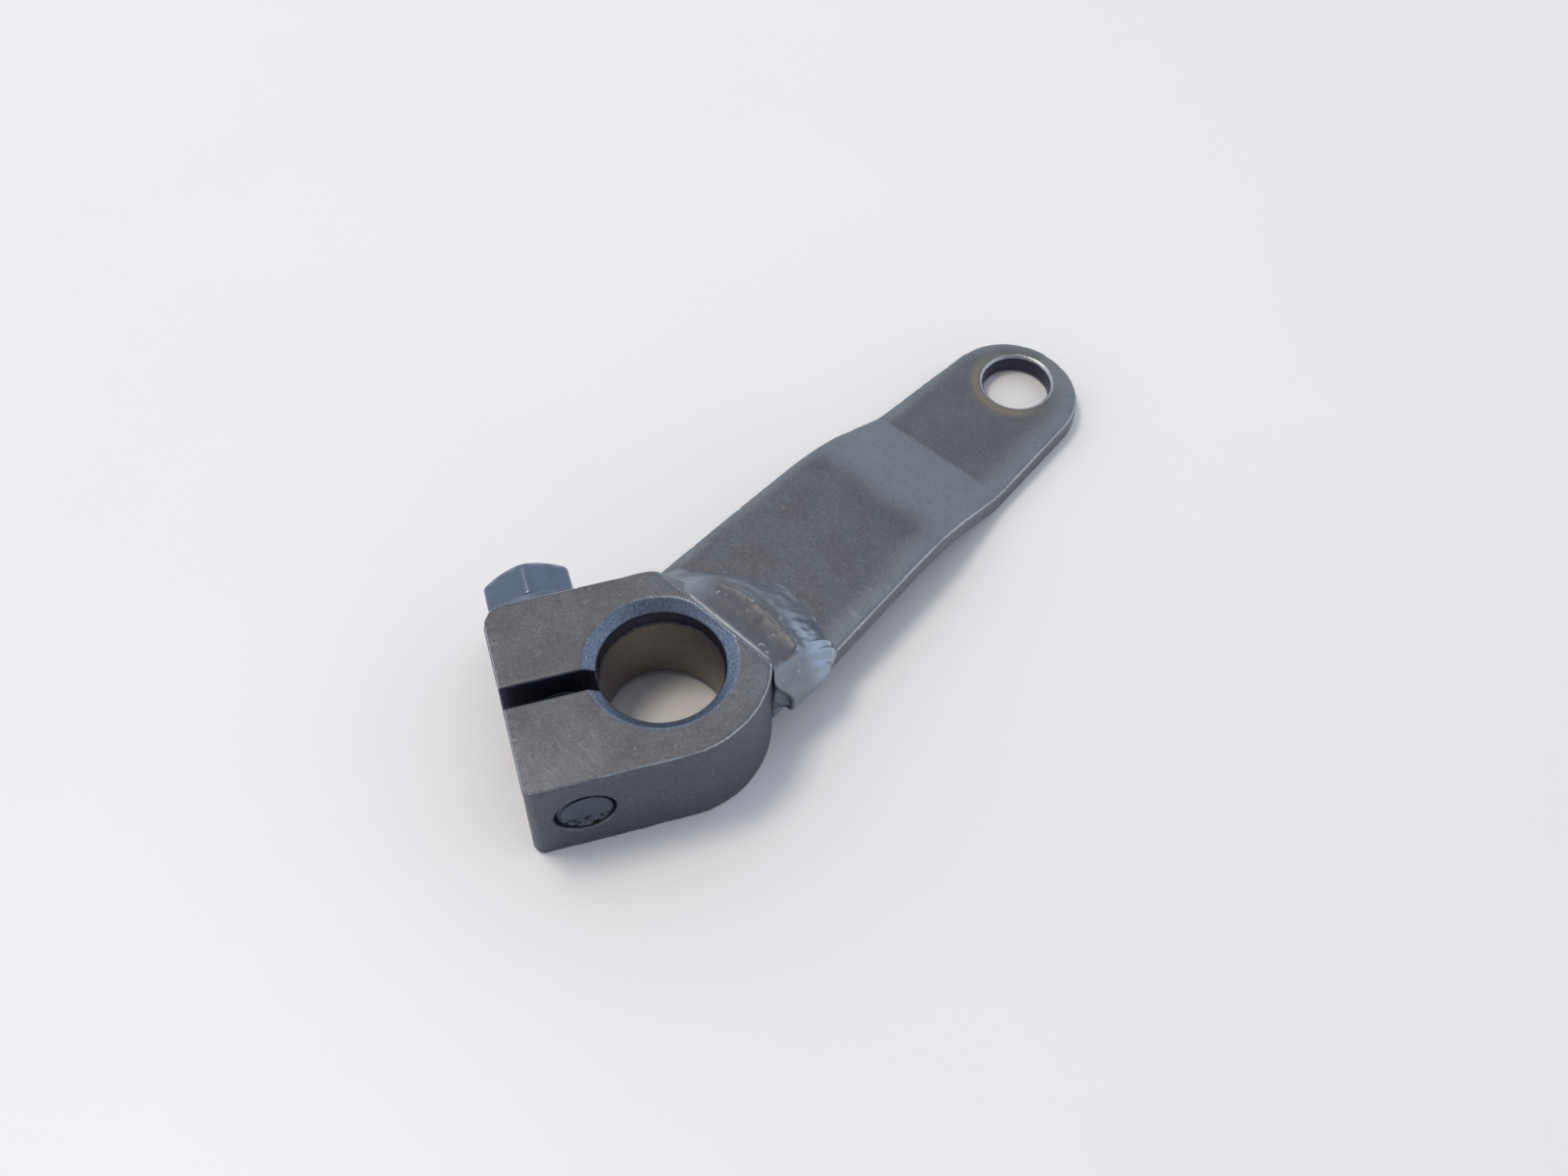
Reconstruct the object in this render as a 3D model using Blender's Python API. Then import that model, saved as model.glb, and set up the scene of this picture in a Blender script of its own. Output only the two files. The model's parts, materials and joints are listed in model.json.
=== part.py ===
"""Clutch lever: a split clamp block with its pinch bolt, and a joggled arm welded to it.

The lever lies flat, its arm along +X and the clamp's bore along +Z. Shapes are modelled with the bore's axis
at X = Y = 0 and the underside at Z = 0, and place_on_base then moves the whole lever so that the origin is
the middle of its base.
"""

import math

import bmesh
import bpy
from mathutils import Matrix, Vector

MM = 0.001

# Gaps between pieces
REST_GAP = 0.3 * MM
BOLT_CLEARANCE = 0.35 * MM

# Clamp block
BLOCK_WIDTH = 29.2 * MM
BLOCK_HEIGHT = 16.7 * MM
BLOCK_REACH = 21.3 * MM
FRONT_CORNER_RADIUS = 1.2 * MM
BACK_CORNER_RADIUS = 3.2 * MM
BLOCK_EDGE = 0.4 * MM
SLOT_WIDTH = 3.2 * MM
SLOT_ANGLE = math.radians(147.4)

# Bore of the clamp
BORE_DIAMETER = 16.5 * MM
BORE_MOUTH_STEP = 0.25 * MM
BORE_MOUTH_DEPTH = 1.0 * MM
BORE_CHAMFER = 1.7 * MM
BORE_CHAMFER_DEPTH = 1.3 * MM

# Pinch bolt, an M8 with its captive washer
BOLT_DIAMETER = 8.0 * MM
BOLT_FROM_BORE = 14.0 * MM
BOLT_END_CHAMFER = 1.3 * MM
BOLT_END_CHAMFER_LENGTH = 0.8 * MM
BOLT_END_RECESS = 0.2 * MM
HEAD_ACROSS_FLATS = 12.0 * MM
HEAD_HEIGHT = 5.2 * MM
HEAD_TOP_SHARE = 0.95  # of the width across flats
HEAD_CHAMFER_ANGLE = math.radians(28.0)
HEAD_TURN = math.radians(27.0)
WASHER_DIAMETER = 14.6 * MM
WASHER_THICKNESS = 1.6 * MM
WASHER_EDGE = 0.3 * MM

# Arm
ARM_THICKNESS = 3.6 * MM
ARM_LENGTH = 80.6 * MM
ARM_START = 8.1 * MM
ARM_WELD_HALF_WIDTH = 13.9 * MM
ARM_EDGE = 0.6 * MM
JOGGLE_START = 44.5 * MM
JOGGLE_LENGTH = 15.9 * MM
JOGGLE_DROP = 5.3 * MM
EYE_RADIUS = 10.4 * MM
EYE_SETBACK = 2.5 * MM
EYE_HOLE_DIAMETER = 10.5 * MM
EYE_HOLE_CHAMFER = 0.4 * MM

# Welds
WELD_PREP_DISTANCE = 9.8 * MM
WELD_TOE_RADIUS = 20.5 * MM
WELD_TOE_REACH = 23.5 * MM
WELD_TOE_OFFSET = 1.5 * MM
WELD_EDGE_INSET = 0.7 * MM
WELD_TOE_SHARE = 0.15  # of the bead's height, kept at its toe
WELD_BULGE_POWER = 1.7
WELD_END_POWER = 6
UNDER_WELD_LEG = 4.0 * MM

# How finely round stretches are drawn
ROUND_STEPS = 64
SMALL_STEPS = 32
CORNER_STEPS = 8
JOGGLE_STEPS = 16
EYE_STEPS = 18
WELD_STEPS_ACROSS = 24
WELD_STEPS_ALONG = 12
UNDER_WELD_ARC_STEPS = 3
SMOOTH_BELOW = math.radians(30.0)
BEVEL_ABOVE = math.radians(40.0)

CUT_OVERRUN = 2.0 * MM

STEEL_FINISHES = {
    "black_oxide_steel": ((0.115, 0.108, 0.112), 0.55, 0.75),
    "weld_metal": ((0.105, 0.118, 0.132), 0.42, 0.85),
    "blued_fastener_steel": ((0.085, 0.112, 0.140), 0.38, 0.90),
}


def steel(finish):
    """The Principled material of one finish, made once."""
    material = bpy.data.materials.get(finish)
    if material:
        return material
    colour, roughness, metallic = STEEL_FINISHES[finish]
    material = bpy.data.materials.new(finish)
    material.use_nodes = True
    shader = material.node_tree.nodes["Principled BSDF"]
    shader.inputs["Base Color"].default_value = (*colour, 1.0)
    shader.inputs["Roughness"].default_value = roughness
    shader.inputs["Metallic"].default_value = metallic
    return material


def new_object(name, mesh, finish=None, turn=0.0, place=(0.0, 0.0, 0.0)):
    """Links a mesh to the scene as one named object, shaded smooth between sharp edges."""
    mesh.shade_smooth()
    mesh.set_sharp_from_angle(angle=SMOOTH_BELOW)
    piece = bpy.data.objects.new(name, mesh)
    piece.rotation_euler.z = turn
    piece.location = place
    bpy.context.scene.collection.objects.link(piece)
    if finish:
        mesh.materials.append(steel(finish))
    return piece


def mesh_of(name, shape):
    """Turns a bmesh into a mesh whose faces point outwards."""
    bmesh.ops.recalc_face_normals(shape, faces=shape.faces)
    mesh = bpy.data.meshes.new(name)
    shape.to_mesh(mesh)
    shape.free()
    return mesh


def prism(name, outline, low, high):
    """An outline in the XY plane, extruded from low to high along Z."""
    shape = bmesh.new()
    floor = shape.faces.new([shape.verts.new((x, y, low)) for x, y in outline])
    grown = bmesh.ops.extrude_face_region(shape, geom=[floor])
    raised = [part for part in grown["geom"] if isinstance(part, bmesh.types.BMVert)]
    bmesh.ops.translate(shape, verts=raised, vec=(0.0, 0.0, high - low))
    return mesh_of(name, shape)


def turned(name, profile, steps=ROUND_STEPS):
    """A solid turned about Z from a closed run of (radius, height) points; a radius of zero is on the axis."""
    shape = bmesh.new()
    rings = []
    for radius, height in profile:
        if radius == 0.0:
            rings.append([shape.verts.new((0.0, 0.0, height))])
            continue
        angles = [2.0 * math.pi * i / steps for i in range(steps)]
        rings.append([shape.verts.new((radius * math.cos(a), radius * math.sin(a), height)) for a in angles])
    for lower, upper in zip(rings, rings[1:] + rings[:1]):
        for i in range(steps):
            corners = [lower[i % len(lower)], lower[(i + 1) % len(lower)]]
            corners += [upper[(i + 1) % len(upper)], upper[i % len(upper)]]
            corners = list(dict.fromkeys(corners))
            if len(corners) > 2:
                shape.faces.new(corners)
    return mesh_of(name, shape)


def arc(centre, radius, start, end, steps):
    """Points along an arc, both ends included."""
    angles = [start + (end - start) * i / steps for i in range(steps + 1)]
    return [(centre[0] + radius * math.cos(a), centre[1] + radius * math.sin(a)) for a in angles]


def cut(piece, cutter, operation="DIFFERENCE"):
    """Adds an exact Boolean and hides the cutter from the render."""
    boolean = piece.modifiers.new(cutter.name, "BOOLEAN")
    boolean.operation = operation
    boolean.solver = "EXACT"
    boolean.object = cutter
    cutter.hide_render = True
    cutter.display_type = "WIRE"


def soften_edges(piece, width):
    """Breaks the piece's sharp edges."""
    bevel = piece.modifiers.new("edge", "BEVEL")
    bevel.width = width
    bevel.segments = 2
    bevel.limit_method = "ANGLE"
    bevel.angle_limit = BEVEL_ABOVE


def clamp_place(along_slot, across, height=0.0):
    """A point given along the clamp's slot, across it towards the bolt's head, and above the base."""
    turn = Matrix.Rotation(SLOT_ANGLE, 3, "Z")
    return turn @ Vector((along_slot, -across, height))


# Clamp block -------------------------------------------------------------------------------------------------


def block_outline(margin):
    """The block seen from above, its slotted end towards +X and its bolt-head side towards -Y."""
    half = BLOCK_WIDTH / 2 + margin
    reach = BLOCK_REACH + margin
    back, front = BACK_CORNER_RADIUS + margin, FRONT_CORNER_RADIUS + margin
    outline = arc((0.0, 0.0), half, math.pi / 2, 3 * math.pi / 2, ROUND_STEPS // 2)
    outline += arc((reach - back, back - half), back, -math.pi / 2, 0.0, CORNER_STEPS)
    outline += arc((reach - front, half - front), front, 0.0, math.pi / 2, CORNER_STEPS)
    return outline


def weld_prep_cutter(name, margin):
    """A wedge that planes the block's top edge down at 45 degrees where the weld lies."""
    start = WELD_PREP_DISTANCE + margin * math.sqrt(2.0)
    deep = BLOCK_WIDTH
    profile = [
        (start - CUT_OVERRUN, BLOCK_HEIGHT + CUT_OVERRUN),
        (start + deep, BLOCK_HEIGHT - deep),
        (start + deep, BLOCK_HEIGHT + CUT_OVERRUN),
    ]
    mesh = prism(name, profile, -BLOCK_WIDTH, BLOCK_WIDTH)
    mesh.transform(Matrix.Rotation(math.pi / 2, 4, "X"))
    return new_object(name, mesh)


def block_blank(name, margin, finish=None):
    """The block before boring, grown by margin on every side."""
    mesh = prism(name, block_outline(margin), -margin, BLOCK_HEIGHT + margin)
    blank = new_object(name, mesh, finish, turn=SLOT_ANGLE)
    if finish:
        soften_edges(blank, BLOCK_EDGE)
    cut(blank, weld_prep_cutter(name + "_prep", margin))
    return blank


def bore_cutter():
    """The bore with its chamfered mouths and the shallow step behind the upper one."""
    wall = BORE_DIAMETER / 2
    mouth = wall + BORE_MOUTH_STEP
    rim = mouth + BORE_CHAMFER
    chamfer_foot = BLOCK_HEIGHT - BORE_CHAMFER_DEPTH
    slope = BORE_CHAMFER / BORE_CHAMFER_DEPTH
    profile = [
        (0.0, -CUT_OVERRUN),
        (wall + BORE_CHAMFER + slope * CUT_OVERRUN, -CUT_OVERRUN),
        (wall, BORE_CHAMFER_DEPTH),
        (wall, chamfer_foot - BORE_MOUTH_DEPTH),
        (mouth, chamfer_foot - BORE_MOUTH_DEPTH),
        (mouth, chamfer_foot),
        (rim + slope * CUT_OVERRUN, BLOCK_HEIGHT + CUT_OVERRUN),
        (0.0, BLOCK_HEIGHT + CUT_OVERRUN),
    ]
    return new_object("bore_cutter", turned("bore_cutter", profile))


def slot_cutter():
    """The saw cut from the block's end into the bore."""
    half = SLOT_WIDTH / 2
    end = BLOCK_REACH + CUT_OVERRUN
    outline = [(0.0, -half), (end, -half), (end, half), (0.0, half)]
    mesh = prism("slot_cutter", outline, -CUT_OVERRUN, BLOCK_HEIGHT + CUT_OVERRUN)
    return new_object("slot_cutter", mesh, turn=SLOT_ANGLE)


def along_bolt(mesh, from_middle=0.0):
    """Turns a mesh made about +Z so that it lies along the bolt, starting from_middle of the block."""
    mesh.transform(Matrix.Translation((0.0, 0.0, from_middle)))
    mesh.transform(Matrix.Rotation(math.pi / 2, 4, "X"))
    return mesh


def on_bolt_axis(name, mesh, finish=None):
    """An object whose origin is where the bolt's axis crosses the slot."""
    place = clamp_place(BOLT_FROM_BORE, 0.0, BLOCK_HEIGHT / 2)
    return new_object(name, mesh, finish, turn=SLOT_ANGLE, place=place)


def bolt_hole_cutter():
    """One straight hole through both jaws."""
    radius = BOLT_DIAMETER / 2 + BOLT_CLEARANCE
    half = BLOCK_WIDTH / 2 + CUT_OVERRUN
    profile = [(0.0, -half), (radius, -half), (radius, half), (0.0, half)]
    mesh = turned("bolt_hole_cutter", profile, SMALL_STEPS)
    return on_bolt_axis("bolt_hole_cutter", along_bolt(mesh))


def make_clamp_block():
    block = block_blank("clamp_block", 0.0, "black_oxide_steel")
    cut(block, bore_cutter())
    cut(block, slot_cutter())
    cut(block, bolt_hole_cutter())
    return block


# Arm ---------------------------------------------------------------------------------------------------------


def arm_half_width(along):
    """Half the arm's width: a straight taper from the weld, then the round of the eye."""
    centre = ARM_LENGTH - EYE_SETBACK
    if along > centre:
        return math.sqrt(max(EYE_RADIUS**2 - (along - centre) ** 2, 0.0))
    share = (along - ARM_START) / (centre - ARM_START)
    return ARM_WELD_HALF_WIDTH + (EYE_RADIUS - ARM_WELD_HALF_WIDTH) * share


def arm_base(along):
    """Height of the arm's underside: level, then the joggle's S, then level on the ground."""
    share = min(max((along - JOGGLE_START) / JOGGLE_LENGTH, 0.0), 1.0)
    straight = 0.5 - 0.5 * math.cos(math.pi * share)
    return JOGGLE_DROP * (1.0 - straight)


def arm_stations():
    """Distances along the arm where its section is drawn."""
    centre = ARM_LENGTH - EYE_SETBACK
    stations = [ARM_START, JOGGLE_START]
    stations += [JOGGLE_START + JOGGLE_LENGTH * (i + 1) / JOGGLE_STEPS for i in range(JOGGLE_STEPS)]
    stations += [centre + EYE_RADIUS * math.sin(math.pi / 2 * i / EYE_STEPS) for i in range(EYE_STEPS)]
    return stations


def eye_hole_cutter():
    """The eye's hole with a small chamfer at each mouth."""
    wall = EYE_HOLE_DIAMETER / 2
    flare = wall + EYE_HOLE_CHAMFER + CUT_OVERRUN
    profile = [
        (0.0, -CUT_OVERRUN),
        (flare, -CUT_OVERRUN),
        (wall, EYE_HOLE_CHAMFER),
        (wall, ARM_THICKNESS - EYE_HOLE_CHAMFER),
        (flare, ARM_THICKNESS + CUT_OVERRUN),
        (0.0, ARM_THICKNESS + CUT_OVERRUN),
    ]
    return new_object("eye_hole_cutter", turned("eye_hole_cutter", profile), place=(ARM_LENGTH, 0.0, 0.0))


def cope_cutter():
    """The round of the block, with a gap, that the arm's end is cut to."""
    radius = BLOCK_WIDTH / 2 + REST_GAP
    profile = [(0.0, -CUT_OVERRUN), (radius, -CUT_OVERRUN), (radius, BLOCK_HEIGHT), (0.0, BLOCK_HEIGHT)]
    return new_object("cope_cutter", turned("cope_cutter", profile))


def make_lever_arm():
    shape = bmesh.new()
    rings = []
    for along in arm_stations():
        half, base = arm_half_width(along), arm_base(along)
        top = base + ARM_THICKNESS
        corners = [(-half, base), (half, base), (half, top), (-half, top)]
        rings.append([shape.verts.new((along, side, height)) for side, height in corners])
    for near, far in zip(rings, rings[1:]):
        for i in (1, 3):
            shape.faces.new([near[i], near[(i + 1) % 4], far[(i + 1) % 4], far[i]])
    bent = rings[: JOGGLE_STEPS + 2]
    for near, far in zip(bent, bent[1:]):
        for i in (0, 2):
            shape.faces.new([near[i], near[i + 1], far[i + 1], far[i]])
    eye = rings[JOGGLE_STEPS + 1 :]
    for i in (0, 2):
        shape.faces.new([ring[i] for ring in eye] + [ring[i + 1] for ring in reversed(eye)])
    shape.faces.new(rings[0])
    shape.faces.new(rings[-1])
    arm = new_object("lever_arm", mesh_of("lever_arm", shape), "black_oxide_steel")
    soften_edges(arm, ARM_EDGE)
    cut(arm, cope_cutter())
    cut(arm, eye_hole_cutter())
    return arm


# Welds -------------------------------------------------------------------------------------------------------


def weld_side(share):
    """(inner, toe) points in plan at a share of the way across the upper weld."""
    edge = math.sqrt((BLOCK_WIDTH / 2) ** 2 - WELD_PREP_DISTANCE**2)
    inner = (WELD_PREP_DISTANCE, edge * (2.0 * share - 1.0))
    centre = WELD_TOE_REACH - WELD_TOE_RADIUS
    half = ARM_WELD_HALF_WIDTH - WELD_EDGE_INSET
    low = math.asin((WELD_TOE_OFFSET - half) / WELD_TOE_RADIUS)
    high = math.asin((half + WELD_TOE_OFFSET) / WELD_TOE_RADIUS)
    angle = low + (high - low) * share
    toe = (centre + WELD_TOE_RADIUS * math.cos(angle), WELD_TOE_RADIUS * math.sin(angle) - WELD_TOE_OFFSET)
    return inner, toe


def make_weld_top():
    """A convex bead from the planed edge of the block down to its toe on the arm."""
    foot = JOGGLE_DROP + ARM_THICKNESS + REST_GAP
    rise = BLOCK_HEIGHT - foot
    shape = bmesh.new()
    upper, lower = [], []
    for i in range(WELD_STEPS_ACROSS + 1):
        inner, toe = weld_side(i / WELD_STEPS_ACROSS)
        off_middle = abs(2.0 * i / WELD_STEPS_ACROSS - 1.0)
        end_fall = math.sqrt(1.0 - off_middle**WELD_END_POWER)
        for rows, lifted in ((upper, True), (lower, False)):
            row = []
            for j in range(WELD_STEPS_ALONG + 1):
                share = j / WELD_STEPS_ALONG
                x = inner[0] + (toe[0] - inner[0]) * share
                y = inner[1] + (toe[1] - inner[1]) * share
                bulge = (1.0 - share**WELD_BULGE_POWER) * end_fall
                lift = WELD_TOE_SHARE + (1.0 - WELD_TOE_SHARE) * bulge
                row.append(shape.verts.new((x, y, foot + rise * lift if lifted else foot)))
            rows.append(row)
    for rows in (upper, lower):
        for near, far in zip(rows, rows[1:]):
            for j in range(WELD_STEPS_ALONG):
                shape.faces.new([near[j], near[j + 1], far[j + 1], far[j]])
    rim_above = ring_round(upper)
    rim_below = ring_round(lower)
    for i in range(len(rim_above)):
        k = (i + 1) % len(rim_above)
        shape.faces.new([rim_above[i], rim_above[k], rim_below[k], rim_below[i]])
    weld = new_object("weld_bead_top", mesh_of("weld_bead_top", shape), "weld_metal")
    cut(weld, block_blank("weld_seat_cutter", REST_GAP))
    return weld


def ring_round(rows):
    """The outer points of a grid, in order."""
    return rows[0] + [row[-1] for row in rows[1:-1]] + rows[-1][::-1] + [row[0] for row in rows[-2:0:-1]]


def make_weld_bottom():
    """A plain fillet under the arm, round the block's end."""
    wall = BLOCK_WIDTH / 2 + REST_GAP
    top = JOGGLE_DROP - REST_GAP
    section = arc((wall, top), UNDER_WELD_LEG, -math.pi / 2, 0.0, UNDER_WELD_ARC_STEPS) + [(wall, top)]
    spread = math.asin((ARM_WELD_HALF_WIDTH - 2.0 * WELD_EDGE_INSET) / (wall + UNDER_WELD_LEG))
    shape = bmesh.new()
    rings = []
    for i in range(WELD_STEPS_ACROSS + 1):
        angle = spread * (2.0 * i / WELD_STEPS_ACROSS - 1.0)
        rings.append([shape.verts.new((r * math.cos(angle), r * math.sin(angle), z)) for r, z in section])
    for near, far in zip(rings, rings[1:]):
        for i in range(len(section)):
            k = (i + 1) % len(section)
            shape.faces.new([near[i], near[k], far[k], far[i]])
    shape.faces.new(rings[0])
    shape.faces.new(rings[-1])
    return new_object("weld_bead_bottom", mesh_of("weld_bead_bottom", shape), "weld_metal")


# Pinch bolt --------------------------------------------------------------------------------------------------


def make_bolt_washer():
    """A flat washer with broken edges."""
    inner = BOLT_DIAMETER / 2 + BOLT_CLEARANCE
    outer = WASHER_DIAMETER / 2
    profile = [
        (inner, 0.0),
        (outer - WASHER_EDGE, 0.0),
        (outer, WASHER_EDGE),
        (outer, WASHER_THICKNESS - WASHER_EDGE),
        (outer - WASHER_EDGE, WASHER_THICKNESS),
        (inner, WASHER_THICKNESS),
    ]
    seat = BLOCK_WIDTH / 2 + REST_GAP
    mesh = along_bolt(turned("bolt_washer", profile), seat)
    return on_bolt_axis("bolt_washer", mesh, "blued_fastener_steel")


def make_pinch_bolt():
    """A hexagon-head bolt: chamfered head, plain round for the thread, and a chamfered end."""
    seat = BLOCK_WIDTH / 2 + WASHER_THICKNESS + 2.0 * REST_GAP
    end = BOLT_END_RECESS - BLOCK_WIDTH / 2
    radius = BOLT_DIAMETER / 2
    shank = [
        (0.0, end),
        (radius - BOLT_END_CHAMFER, end),
        (radius, end + BOLT_END_CHAMFER_LENGTH),
        (radius, seat + HEAD_HEIGHT / 2),
        (0.0, seat + HEAD_HEIGHT / 2),
    ]
    corner = HEAD_ACROSS_FLATS / 2 / math.cos(math.pi / 6)
    hexagon = arc((0.0, 0.0), corner, HEAD_TURN, HEAD_TURN + 5.0 * math.pi / 3.0, 5)
    top = HEAD_TOP_SHARE * HEAD_ACROSS_FLATS / 2
    drop = (corner - top) * math.tan(HEAD_CHAMFER_ANGLE)
    dome = [
        (0.0, seat - CUT_OVERRUN),
        (corner + REST_GAP, seat - CUT_OVERRUN),
        (corner + REST_GAP, seat + HEAD_HEIGHT - drop),
        (top, seat + HEAD_HEIGHT),
        (0.0, seat + HEAD_HEIGHT),
    ]
    head = prism("pinch_bolt", hexagon, seat, seat + HEAD_HEIGHT + CUT_OVERRUN)
    bolt = on_bolt_axis("pinch_bolt", along_bolt(head), "blued_fastener_steel")
    shaper = on_bolt_axis("head_chamfer_cutter", along_bolt(turned("head_chamfer_cutter", dome)))
    cut(bolt, shaper, "INTERSECT")
    cut(bolt, on_bolt_axis("shank_union", along_bolt(turned("shank_union", shank, SMALL_STEPS))), "UNION")
    return bolt


# Whole lever -------------------------------------------------------------------------------------------------


def place_on_base(pieces):
    """Parents everything to one empty and moves that so the middle of the lever's base is the origin."""
    frame = bpy.data.objects.new("lever_frame", None)
    bpy.context.scene.collection.objects.link(frame)
    for thing in bpy.context.scene.collection.objects:
        if thing is not frame:
            thing.parent = frame
    bpy.context.view_layer.update()
    graph = bpy.context.evaluated_depsgraph_get()
    points = []
    for piece in pieces:
        evaluated = piece.evaluated_get(graph)
        mesh = evaluated.to_mesh()
        points += [evaluated.matrix_world @ vertex.co for vertex in mesh.vertices]
        evaluated.to_mesh_clear()
    low = [min(point[i] for point in points) for i in range(3)]
    high = [max(point[i] for point in points) for i in range(3)]
    frame.location = (-(low[0] + high[0]) / 2, -(low[1] + high[1]) / 2, -low[2])
    bpy.context.view_layer.update()


def main():
    for old in list(bpy.data.objects):
        bpy.data.objects.remove(old)
    pieces = [
        make_clamp_block(),
        make_lever_arm(),
        make_weld_top(),
        make_weld_bottom(),
        make_bolt_washer(),
        make_pinch_bolt(),
    ]
    place_on_base(pieces)


main()
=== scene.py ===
import json
import math

import bpy
import numpy as np
from mathutils import Matrix, Vector


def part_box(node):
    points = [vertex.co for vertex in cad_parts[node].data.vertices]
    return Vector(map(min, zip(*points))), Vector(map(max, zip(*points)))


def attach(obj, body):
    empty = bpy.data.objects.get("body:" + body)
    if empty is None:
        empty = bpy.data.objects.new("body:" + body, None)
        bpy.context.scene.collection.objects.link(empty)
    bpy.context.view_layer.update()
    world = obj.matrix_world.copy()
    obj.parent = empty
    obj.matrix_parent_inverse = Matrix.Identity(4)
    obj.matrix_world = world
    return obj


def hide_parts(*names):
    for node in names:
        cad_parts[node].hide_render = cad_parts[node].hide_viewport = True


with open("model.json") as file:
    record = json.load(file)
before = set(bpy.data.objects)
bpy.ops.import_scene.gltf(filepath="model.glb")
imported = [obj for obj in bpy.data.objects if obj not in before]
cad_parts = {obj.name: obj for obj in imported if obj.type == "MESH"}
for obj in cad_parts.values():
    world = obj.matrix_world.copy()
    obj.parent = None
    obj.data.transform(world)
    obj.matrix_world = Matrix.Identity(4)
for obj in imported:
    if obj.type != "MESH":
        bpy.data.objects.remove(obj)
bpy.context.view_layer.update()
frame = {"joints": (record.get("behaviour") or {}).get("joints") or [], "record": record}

MM = 0.001


# Places, read from the frame ------------------------------------------------------------------------------

openings = {space["name"]: space["box_m"] for space in frame["record"]["physics"]["openings"]}
turning = next(joint for joint in frame["joints"] if joint["name"] == "bolt_turn")


def middle(box):
    """The middle of a box, dropped to the floor."""
    low, high = Vector(box[0]), Vector(box[1])
    return Vector(((low.x + high.x) / 2, (low.y + high.y) / 2, 0.0))


bore = middle(openings["shaft_bore"])
eye = middle(openings["eye_hole"])
bolt_outward = Vector(turning["axis"]).normalized()
bolt_middle = Vector(turning["pos_m"])
arm_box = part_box("lever_arm")
block_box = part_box("clamp_block")

UP = Vector((0.0, 0.0, 1.0))
along_slot = UP.cross(bolt_outward)


def stand(x_axis, z_axis, origin):
    """The matrix from a piece's own millimetres to its place."""
    turned_to = Matrix((x_axis, z_axis.cross(x_axis), z_axis)).transposed().to_4x4()
    return Matrix.Translation(origin) @ turned_to @ Matrix.Scale(MM, 4)


# Each piece is shaped in millimetres in a frame of its own, and these put it in place. X runs out along the
# slot in the clamp's frame and along the arm in the arm's, and Z runs out of the head in the bolt's.
CLAMP_FRAME = stand(along_slot, UP, bore)
ARM_FRAME = stand(Vector((1.0, 0.0, 0.0)), UP, bore)
BOLT_FRAME = stand(along_slot, bolt_outward, bolt_middle)

# Sizes, in millimetres ------------------------------------------------------------------------------------

# Clamp block: its outline and worn edges, the weld preparation, the slot, the bore and the marks of use.
BLOCK_HEIGHT = block_box[1].z / MM
BLOCK_HALF_WIDTH = 14.6
BLOCK_REACH = 21.3
FRONT_CORNER = 1.2
BACK_CORNER = 3.2
BLOCK_EDGE = 0.42
BLOCK_EDGE_WEAR = 0.14
PREP_CHORD = 9.62
PREP_SKEW = 0.0415
PREP_EDGE = 0.25
SLOT_HALF_WIDTH = 1.5
SAWN_EDGE = 0.14
BORE_RADIUS = 8.25
BORE_EDGE = 0.05
BORE_MOUTH_RADIUS = 8.5
BORE_MOUTH_DEPTH = 2.2
BORE_MOUTH_EDGE = 0.08
BORE_MOUTH_RAGGED = 0.28
BORE_FLARE = 1.7
BORE_FLARE_DEPTH = 1.3
BORE_FLARE_EDGE = 0.16
BOLT_HOLE_RADIUS = 4.12
BOLT_FROM_BORE = (bolt_middle - bore).dot(along_slot) / MM
NICK_DEPTH = 0.16
DENT_DEPTH = 0.07
BLASTED_DEPTH = 0.015
END_SAW_DEPTH = 0.13
SLOT_SAW_DEPTH = 0.05

# Lever arm: its section, joggle, eye, tapering edges and marks of use.
ARM_THICKNESS = 3.6
ARM_TOP = arm_box[1].z / MM
ARM_DROP = ARM_TOP - ARM_THICKNESS
ARM_EDGE = 0.75
ARM_EDGE_WEAR = 0.1
JOGGLE_TOP = 45.9
JOGGLE_FOOT = 60.45
JOGGLE_TOP_BLEND = 4.0
JOGGLE_FOOT_BLEND = 1.1
EYE_FROM_BORE = (eye - bore).x / MM
EYE_TIP = arm_box[1].x / MM - bore.x / MM
EYE_RADIUS = 10.6
EYE_CENTRE = EYE_TIP - EYE_RADIUS
EYE_ASIDE = 0.6
EYE_HOLE_RADIUS = 5.25
EYE_HOLE_FLARE = 0.42
ARM_START = 8.1
ARM_START_FRONT = 2.6
ARM_FRONT = ((ARM_START, 13.8), (51.0, 12.1), (EYE_CENTRE, EYE_RADIUS + EYE_ASIDE))
ARM_BACK = ((ARM_START, 14.2), (51.0, 12.45), (EYE_CENTRE, EYE_RADIUS - EYE_ASIDE))
ARM_GRAIN_DEPTH = 0.02
ARM_WAVE_DEPTH = 0.03
ARM_PIT_DEPTH = 0.06
FLANK_NICK_DEPTH = 0.1

# Welds: the upper one's toe curves back from its furthest reach, and a lump hangs over the arm's front edge.
WELD_REACH = 23.6
WELD_REACH_ASIDE = 1.2
WELD_FRONT_CURVE = 0.029
WELD_BACK_SLANT = 0.62
WELD_BACK_BLEND = 2.0
WELD_PIT_DEPTH = 0.1
RIPPLE_SPACING = 1.5
LUMP_MIDDLE = (16.4, -12.3, 8.9)
LUMP_REACH = (4.0, 2.05, 3.3)
LUMP_BLEND = 2.2
LOWER_LEG = 3.9
LOWER_HALF_WIDTH = 12.0
LOWER_ASIDE = 0.7

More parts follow.
